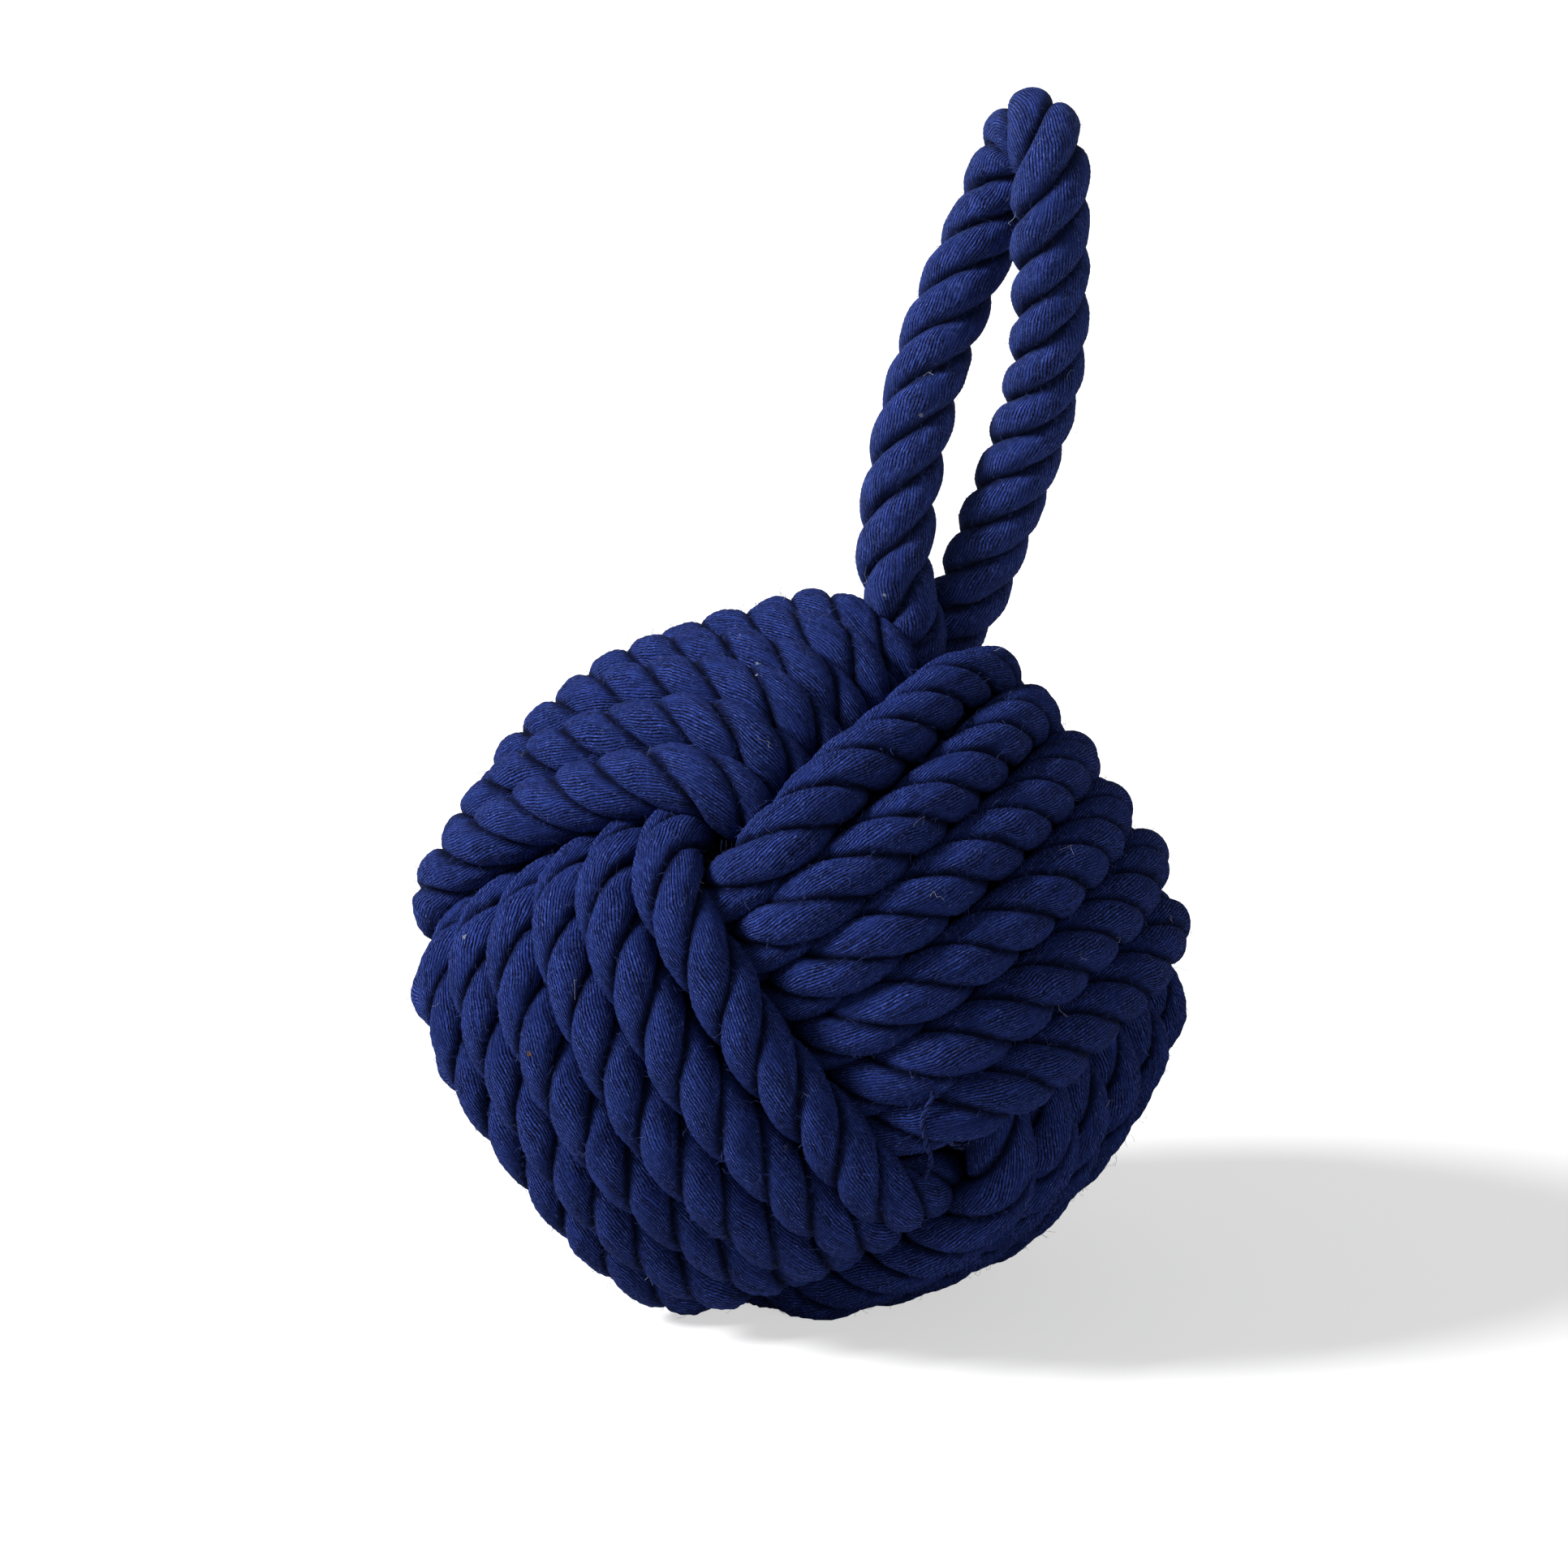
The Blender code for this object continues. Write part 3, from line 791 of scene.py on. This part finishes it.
def looseFibreTree():
    # short curved fibres standing out of a surface, where it faces away from the middle
    tree = bpy.data.node_groups.new("looseFibres", "GeometryNodeTree")
    asked = groupInputs(tree, (
        ("Surface", "Geometry", None),
        ("Density", "Float", 40000.0),
        ("Middle", "Vector", (0.0, 0.0, 0.0)),
        ("Outside From", "Float", 0.0),
        ("Facing", "Float", -2.0),
        ("Shortest", "Float", 0.0008),
        ("Longest", "Float", 0.0026),
        ("Thickness", "Float", 0.00003),
        ("Flattest", "Float", 4.0),
        ("Steepest", "Float", 40.0),
        ("Curl", "Float", 0.0012),
        ("Seed", "Int", 1),
        ("Material", "Material", None),
    ))
    spot = addNode(tree, "GeometryNodeInputPosition").outputs[0]
    away = vectorCalc("SUBTRACT", spot, asked["Middle"])
    facing = vectorCalc("DOT_PRODUCT", vectorCalc("NORMALIZE", away),
                        addNode(tree, "GeometryNodeInputNormal").outputs[0])
    outside = calc("GREATER_THAN", vectorCalc("LENGTH", away), asked["Outside From"])
    chosen = times(outside, calc("GREATER_THAN", facing, asked["Facing"]))
    roots = addNode(tree, "GeometryNodeDistributePointsOnFaces", {
        "Mesh": asked["Surface"], "Selection": chosen, "Density": asked["Density"], "Seed": asked["Seed"]}).outputs

    def chance(low, high, salt):
        node = addNode(tree, "FunctionNodeRandomValue", data_type="FLOAT")
        for number, value in ((2, low), (3, high), (8, plus(asked["Seed"], salt))):
            feed(node.inputs[number], value)
        return node.outputs[1]

    count = fibrePattern["points"]
    line = addNode(tree, "GeometryNodeMeshLine", {"Count": count, "Offset": (1 / (count - 1), 0.0, 0.0)}).outputs[0]
    line = storeNamed(line, "rise", split(spot)[0], "FLOAT", "POINT")
    leanSalt, turnSalt, sizeSalt = fibrePattern["salts"]
    lean = times(chance(asked["Flattest"], asked["Steepest"], leanSalt), -math.pi / 180)
    lean = join(y=lean, z=chance(0.0, 2 * math.pi, turnSalt))
    turned = addNode(tree, "FunctionNodeRotateRotation", {
        "Rotation": roots["Rotation"],
        "Rotate By": addNode(tree, "FunctionNodeEulerToRotation", {"Euler": lean}).outputs[0],
    }, rotation_space="LOCAL").outputs[0]
    size = chance(asked["Shortest"], asked["Longest"], sizeSalt)
    placed = addNode(tree, "GeometryNodeInstanceOnPoints", {
        "Points": roots["Points"], "Instance": line, "Rotation": turned,
        "Scale": join(size, size, size)}).outputs[0]
    real = addNode(tree, "GeometryNodeRealizeInstances", {"Geometry": placed}).outputs[0]
    # a fibre bends more the farther it stands from its root
    bend = times(times(readNamed(tree, "rise"), asked["Curl"]), fibrePattern["bendGain"])
    moved = vectorCalc("ADD", spot, centredNoise(spot, fibrePattern["bendScale"], 1.0, bend))
    bent = addNode(tree, "GeometryNodeSetPosition", {
        "Geometry": real, "Position": lifted(moved, laying["aboveFloor"])}).outputs[0]
    tubes = addNode(tree, "GeometryNodeCurveToMesh", {
        "Curve": addNode(tree, "GeometryNodeMeshToCurve", {"Mesh": bent}).outputs[0],
        "Profile Curve": addNode(tree, "GeometryNodeCurvePrimitiveCircle", {
            "Resolution": 3, "Radius": asked["Thickness"]}).outputs[0],
        "Fill Caps": True,
    }).outputs[0]
    endTree(tubes, asked["Material"])
    return tree


def fibreMaterial(name, dark, light, scale):
    # fibres differ in shade from place to place
    made, tree, shader = newMaterial(name, {"Roughness": 0.8, "Specular IOR Level": 0.2})
    cloud = noise(objectCoords(tree), scale, 1.0)[0]
    share = calc("MULTIPLY_ADD", cloud, *fuzz["contrast"], clamp=True)
    feed(shader.inputs["Base Color"], mixColours(dark, light, share))
    return made


looseFibres = looseFibreTree()
fuzz = {
    "navy": ((0.012, 0.022, 0.110), (0.075, 0.110, 0.330), 500.0),  # two shades, and how finely they change
    "lint": ((0.13, 0.15, 0.25), (0.44, 0.46, 0.54), 180.0),
    "contrast": (3.0, -1.0),
    "knot": {"Density": 56000.0, "Outside From": 0.0660, "Facing": 0.15, "Seed": 5},
    "handle": {"Density": 120000.0, "Shortest": 0.0006, "Longest": 0.0019, "Curl": 0.0009, "Seed": 8},
    "knotLint": {"Density": 900.0, "Outside From": 0.0675, "Facing": 0.35, "Shortest": 0.0008, "Longest": 0.0028,
                 "Thickness": 0.00004, "Flattest": 2.0, "Steepest": 30.0, "Curl": 0.0026, "Seed": 3},
    "handleLint": {"Density": 700.0, "Shortest": 0.0008, "Longest": 0.0026, "Thickness": 0.00004,
                   "Flattest": 2.0, "Steepest": 30.0, "Curl": 0.0022, "Seed": 14},
}


def fibresOn(surfaces, name, settings, material):
    # one holder with the surfaces together, only to grow fibres on
    mesh = bpy.data.meshes.new(name + "Bed")
    points, faces = [], []
    for surface in surfaces:
        first = len(points)
        points += [tuple(v.co) for v in surface.vertices]
        faces += [[first + i for i in p.vertices] for p in surface.polygons]
    mesh.from_pydata(points, [], faces)
    holder = addObject(name + "Bed", mesh)
    made = runTree(holder, looseFibres, {**settings, "Middle": knot["middle"], "Material": material})
    bpy.data.objects.remove(holder, do_unlink=True)
    print(name, "triangles", sum(len(p.vertices) - 2 for p in made.polygons))
    return pieceFrom(made, name)


navyFuzz = fibreMaterial("navyFuzz", *fuzz["navy"])
paleLint = fibreMaterial("paleLint", *fuzz["lint"])
for name, settings, material in (("knotFuzz", fuzz["knot"], navyFuzz), ("knotLint", fuzz["knotLint"], paleLint)):
    piece = fibresOn([each.data for each in knotPieces], name, settings, material)
    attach(piece, "knot")
for name, settings, material in (("handleFuzz", fuzz["handle"], navyFuzz),
                                 ("handleLint", fuzz["handleLint"], paleLint)):
    piece = fibresOn([handlePiece.data], name, settings, material)
    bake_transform(piece)
print("fibres grown")


looseYarn = {
    "Strands": 2,
    "Around": 8,
    "rowStep": 0.0005,
    "layLength": 0.0044,
    "firstLay": 0.0,
    "Strand Reach": 0.36,
    "Strand Height": 0.60,
    "Strand Width": 0.72,
    "Softness": 0.06,
    "Puffs": 4.0,
    "radius": 0.00058,
    "pointStep": 0.0006,
    "seed": 2.0,
    "castFrom": 0.1,
    "lifts": (-0.0030, 0.0004, 0.0008, 0.0008, 0.0008, 0.0004, -0.0030),
    "leasts": (0.0, 0.0, 0.0715, 0.0722, 0.0712, 0.0, 0.0),  # where it bridges the pit at the corner
    # the loose yarn takes the handle's painted lighter colours
    "look": {**handleLookPaintedLighter, "yarns": 5.0, "backTwist": 0.5},
    # directions from the knot's middle in which the yarn comes out, lies and goes in again
    "toward": ((0.3450, -0.9360, -0.0480), (0.3358, -0.9383, -0.0826), (0.3097, -0.9395, -0.1461),
               (0.3165, -0.9259, -0.2061), (0.3378, -0.8988, -0.2793), (0.3349, -0.8699, -0.3621),
               (0.3300, -0.8480, -0.4100)),
}
fray = {
    "toward": (0.3845, -0.8959, -0.2223),
    "radius": 0.0008,
    "rim": (0.0, 1.26, 2.51, 3.77, 5.03),  # angles of the bed's corners
    "fibres": {"Density": 1.1e7, "Shortest": 0.0010, "Longest": 0.0032, "Thickness": 0.000035,
               "Flattest": 4.0, "Steepest": 35.0, "Curl": 0.0020, "Seed": 31},
}
bpy.context.view_layer.update()


def onKnot(direction, lift, least=0.0):
    # the point of the rope's surface in a direction from the knot's middle, a little above it and not under the least
    direction = Vector(direction).normalized()
    reached = []
    for piece in knotPieces:
        hit, spot, normal, face = piece.ray_cast(knotMiddle + direction * looseYarn["castFrom"], -direction)
        if hit:
            reached.append((spot - knotMiddle).length)
    return knotMiddle + direction * max(max(reached) + lift, least)


spots = [onKnot(*each) for each in zip(looseYarn["toward"], looseYarn["lifts"], looseYarn["leasts"])]
piece = layRope("looseYarn", smoothLine(spots, looseYarn["pointStep"]), looseYarn["radius"], looseYarn["layLength"],
                looseYarn, cottonMaterial("yarnCotton", looseYarn["look"]), looseYarn["seed"])
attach(piece, "knot")

outward = Vector(fray["toward"]).normalized()
aside = outward.to_track_quat("Z", "Y")
root = onKnot(outward, 0.0)
rim = [root + aside @ Vector((math.cos(turn), math.sin(turn), 0)) * fray["radius"] for turn in fray["rim"]]
bed = bpy.data.meshes.new("frayBed")
bed.from_pydata([tuple(spot) for spot in rim], [], [(0, 1, 2, 3, 4)])
piece = fibresOn([bed], "frayedEnd", fray["fibres"], navyFuzz)
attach(piece, "knot")
print("loose yarn laid")


bag = {
    "reach": 0.04543,
    "wall": 0.0008,
    "gatherAngle": 22.0,  # degrees from the neck's axis, where the cloth is drawn together
    "neckRadius": 0.0041,
    "neckHeight": 0.0100,
    "mouthUnder": 0.0010,
    "troughWidth": 0.0038,
    "mouthFlare": 0.0023,
    "gathers": ((0.62, 0.74), (0.22, 0.46), (0.0, 0.22)),  # shares of the way out of the trough, across and up
    "neckOutside": (0.12, 0.34, 0.55),  # shares of the neck's height
    "neckInside": (0.60, 0.32, -0.04),
    "pleats": 19,
    "pleatDepth": 0.00055,
    "pleatsEnd": 75.0,  # degrees from the neck's axis, where the pleats die out
    "pleatShares": (0.45, 1.4),  # shallow under the twine, deep at the mouth
    "neckFrom": 0.0075,
    "unevenness": (0.8, 0.4),
    "around": 228,
    "threadStep": 0.0006,
    # two cloth tones, then the painted shade colour between threads
    "cloth": ((0.32, 0.27, 0.19), (0.50, 0.45, 0.34), (0.20, 0.16, 0.11)),
    "weave": {"cloudScale": 0.35, "cloudSpread": (2.4, -0.7), "threadShadeSpread": (0.8, 0.25), "relief": 0.00015},
    "sand": ((0.30, 0.21, 0.11), (0.62, 0.50, 0.33), (0.20, 0.15, 0.10)),
    "grains": {"scale": 1400.0, "darkFrom": 0.85, "relief": 0.0003},
}
bagAxis = (knotAxes[1] - knotAxes[0] - knotAxes[2]).normalized()
bagTurn = bagAxis.to_track_quat("Z", "Y").to_matrix()
mouthHeight = bag["reach"] - bag["mouthUnder"]
floorHeight = mouthHeight - bag["neckHeight"]


def calicoMaterial(name, colours):
    # plain weave from the piece's own map, in threads, with painted shade where the threads dip
    made, tree, shader = newMaterial(name, {"Roughness": 0.92})
    place = addNode(tree, "ShaderNodeUVMap", uv_map="clothMap").outputs[0]
    parts = split(place)[:2]
    warp, weft = [calc("ABSOLUTE", calc("SINE", times(part, math.pi))) for part in parts]
    over = plus(*[calc("FLOOR", part) for part in parts])
    over = calc("GREATER_THAN", calc("FRACT", times(over, 0.5)), 0.25)
    height = plus(times(warp, over), times(weft, minus(1.0, over)))
    weave = bag["weave"]
    cloud = noise(place, weave["cloudScale"], 3.0)[0]
    colour = mixColours(colours[0], colours[1], calc("MULTIPLY_ADD", cloud, *weave["cloudSpread"], clamp=True))
    # painted shade: the cloth darkens toward the third colour where the threads dip
    colour = mixColours(colours[2], colour, calc("MULTIPLY_ADD", height, *weave["threadShadeSpread"], clamp=True))
    dress(shader, colour, height, weave["relief"])
    return made


def sandMaterial(name, colours):
    # grains of three shades
    made, tree, shader = newMaterial(name, {"Roughness": 0.95})
    look = bag["grains"]
    grains = addNode(tree, "ShaderNodeTexVoronoi", {"Vector": objectCoords(tree), "Scale": look["scale"]}).outputs
    pick = addNode(tree, "ShaderNodeSeparateColor", {"Color": grains["Color"]}).outputs
    colour = mixColours(colours[0], colours[1], pick[0])
    colour = mixColours(colour, colours[2], calc("GREATER_THAN", pick[1], look["darkFrom"]))
    dress(shader, colour, minus(1.0, grains["Distance"]), look["relief"])
    return made


def arcPoints(reach, first, last, count):
    angles = [math.radians(between(first, last, i / (count - 1))) for i in range(count)]
    return [(reach * math.cos(angle), reach * math.sin(angle)) for angle in angles]


def gatheredSide(reach, inset):
    side = bag["neckRadius"] + bag["troughWidth"] + inset
    start = reach * math.sin(math.radians(bag["gatherAngle"]))
    rows = [(between(side, start, across), between(floorHeight, reach, up) - inset) for across, up in bag["gathers"]]
    return rows + [(bag["neckRadius"] + bag["troughWidth"] * 0.5, floorHeight - inset)]


def bagShell():
    # outer side from the far pole to the mouth, and the inner side back again, drawn into pleats at the neck
    neck, wall, reach, around = bag["neckRadius"], bag["wall"], bag["reach"], bag["around"]
    aside, deeper = bag["unevenness"]
    outline = arcPoints(reach, -90, 90 - bag["gatherAngle"], 40) + gatheredSide(reach, 0.0)
    outline += [(neck, between(floorHeight, mouthHeight, share)) for share in bag["neckOutside"]]
    outline += [(neck + bag["mouthFlare"], mouthHeight), (neck + bag["mouthFlare"] - wall, mouthHeight + wall * 0.6)]
    outline += [(neck - wall, between(floorHeight, mouthHeight, share)) for share in bag["neckInside"]]
    outline += gatheredSide(reach, wall)[::-1] + arcPoints(reach - wall, 90 - bag["gatherAngle"], -90, 40)
    points, faces, threadRows = [], [], []
    walked = 0.0
    for j, (radius, height) in enumerate(outline):
        if j:
            walked += math.dist(outline[j - 1], outline[j])
        drawn = ease(1 - math.degrees(math.atan2(radius, height)) / bag["pleatsEnd"]) if height > 0 else 0.0
        if radius < bag["neckFrom"]:
            drawn *= bag["pleatShares"][height >= mouthHeight - 0.001]
        for i in range(around):
            turn = 2 * math.pi * i / around
            ripple = math.sin(turn * bag["pleats"] + aside * math.sin(turn * 3))
            ripple *= 1 + deeper * math.sin(turn * 5 + 1)
            wide = max(radius + ripple * drawn * bag["pleatDepth"], 0.0) if radius > 0.0001 else 0.0
            spot = bagTurn @ Vector((wide * math.cos(turn), wide * math.sin(turn), height))
            points.append(tuple(settled(spot) + knotMiddle))
        threadRows.append(walked / bag["threadStep"])
    for j in range(len(outline) - 1):
        for i in range(around):
            k = (i + 1) % around
            faces.append((j * around + i, j * around + k, (j + 1) * around + k, (j + 1) * around + i))
    mesh = bpy.data.meshes.new("coreBagCloth")
    mesh.from_pydata(points, [], faces)
    own = mesh.uv_layers.new(name="clothMap")
    threads = round(2 * math.pi * reach / bag["threadStep"])
    for face in mesh.polygons:
        j, i = divmod(face.index, around)
        for loop, (di, dj) in zip(face.loop_indices, ((0, 0), (1, 0), (1, 1), (0, 1))):
            own.data[loop].uv = ((i + di) * threads / around, threadRows[j + dj])
    form = bmesh.new()
    form.from_mesh(mesh)
    bmesh.ops.remove_doubles(form, verts=form.verts, dist=0.000001)
    bmesh.ops.recalc_face_normals(form, faces=form.faces)
    form.to_mesh(mesh)
    form.free()
    mesh.shade_smooth()
    mesh.materials.append(calicoMaterial("calicoCloth", bag["cloth"]))
    return pieceFrom(mesh, "coreBagCloth")


piece = bagShell()
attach(piece, "knot")
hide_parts("core_bag")

twine = {
    "Strands": 3,
    "Around": 10,
    "rowStep": 0.0004,
    "layLength": 0.0052,
    "firstLay": 0.0,
    "Strand Reach": 0.50,
    "Strand Height": 0.50,
    "Strand Width": 0.62,
    "Softness": 0.05,
    "Puffs": 4.0,
    "radius": 0.00092,
    "reach": 0.0055,
    "turns": 2.1,
    "height": 0.36,  # share of the neck
    "climb": 1.15,
    "points": 90,
    "seed": 6.0,
    "look": {
        **navyLook,
        "yarns": 7.0, "backTwist": 0.6, "deep": (0.16, 0.11, 0.055), "lit": (0.36, 0.27, 0.15),
        # the groove and side colours are painted shade, and the fibre streaks partly a painted sheen highlight
        "fibreToneAndSheen": (0.52, 0.42, 0.26), "matted": (0.26, 0.19, 0.10), "grooveDepthAndShade": (0.05, 0.03, 0.015),
        "side": (0.06, 0.04, 0.02), "stray": (0.45, 0.36, 0.22), "sheen": 0.0, "relief": 0.00012, "flecks": (),
    },
}
tieHeight = between(floorHeight, mouthHeight, twine["height"])
tieLine = []
for i in range(twine["points"] + 1):
    turn = 2 * math.pi * twine["turns"] * i / twine["points"]
    rise = (i / twine["points"] - 0.5) * 2 * twine["radius"] * twine["climb"]
    spot = bagTurn @ Vector((twine["reach"] * math.cos(turn), twine["reach"] * math.sin(turn), tieHeight + rise))
    tieLine.append(settled(spot) + knotMiddle)
piece = layRope("bagTwine", tieLine, twine["radius"], twine["layLength"], twine,
                cottonMaterial("bagTwineFibre", twine["look"]), twine["seed"])
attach(piece, "knot")
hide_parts("bag_tie")

drySand = sandMaterial("drySand", bag["sand"])
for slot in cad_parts["sand_fill"].material_slots:
    slot.material = drySand
print("bag tied")


studio = {
    "floorReach": 9.0,
    "floorColour": (0.55, 0.55, 0.55),
    "floorGlow": 0.58,
    "worldStrength": 0.20,
    "keyStrength": 5.4,
    "lampSoftness": 18.0,  # degrees across each light, as seen from the object
    "keyFrom": (-1.00, -0.19, 0.76),
    "fillStrength": 0.34,
    "fillFrom": (1.0, -0.9, 0.4),
}


def seenDirectly(tree):
    # 1 for the camera, also in gloss and through glass, and 0 for the light on the object
    rays = addNode(tree, "ShaderNodeLightPath").outputs
    return calc("MAXIMUM", rays["Is Camera Ray"],
                calc("MAXIMUM", rays["Is Glossy Ray"], rays["Is Transmission Ray"]))


def makeStudio():
    mesh = bpy.data.meshes.new("floor")
    far = studio["floorReach"]
    mesh.from_pydata([(-far, -far, 0), (far, -far, 0), (far, far, 0), (-far, far, 0)], [], [(0, 1, 2, 3)])
    floor = addObject("floor", mesh)
    paper, tree, shader = newMaterial("studioFloor", {
        "Base Color": (*studio["floorColour"], 1), "Roughness": 0.9, "Specular IOR Level": 0.1})
    glow = addNode(tree, "ShaderNodeEmission", {"Strength": times(seenDirectly(tree), studio["floorGlow"])})
    both = addNode(tree, "ShaderNodeAddShader", {0: shader.outputs[0], 1: glow.outputs[0]})
    feed(tree.nodes["Material Output"].inputs["Surface"], both.outputs[0])
    mesh.materials.append(paper)

    world = bpy.data.worlds.new("studioSky")
    bpy.context.scene.world = world
    world.use_nodes = True
    tree = world.node_tree
    dim = studio["worldStrength"]
    back = tree.nodes["Background"].inputs
    back["Color"].default_value = (1, 1, 1, 1)
    feed(back["Strength"], plus(times(seenDirectly(tree), 1 - dim), dim))

    for name, place, strength in (("keyLight", studio["keyFrom"], studio["keyStrength"]),
                                  ("fillLight", studio["fillFrom"], studio["fillStrength"])):
        lamp = bpy.data.lights.new(name, "SUN")
        lamp.angle = math.radians(studio["lampSoftness"])
        lamp.energy = strength
        addObject(name, lamp).rotation_euler = (-Vector(place)).to_track_quat("-Z", "Y").to_euler()
    bpy.context.scene.view_settings.view_transform = "Standard"


makeStudio()
print("studio lit")
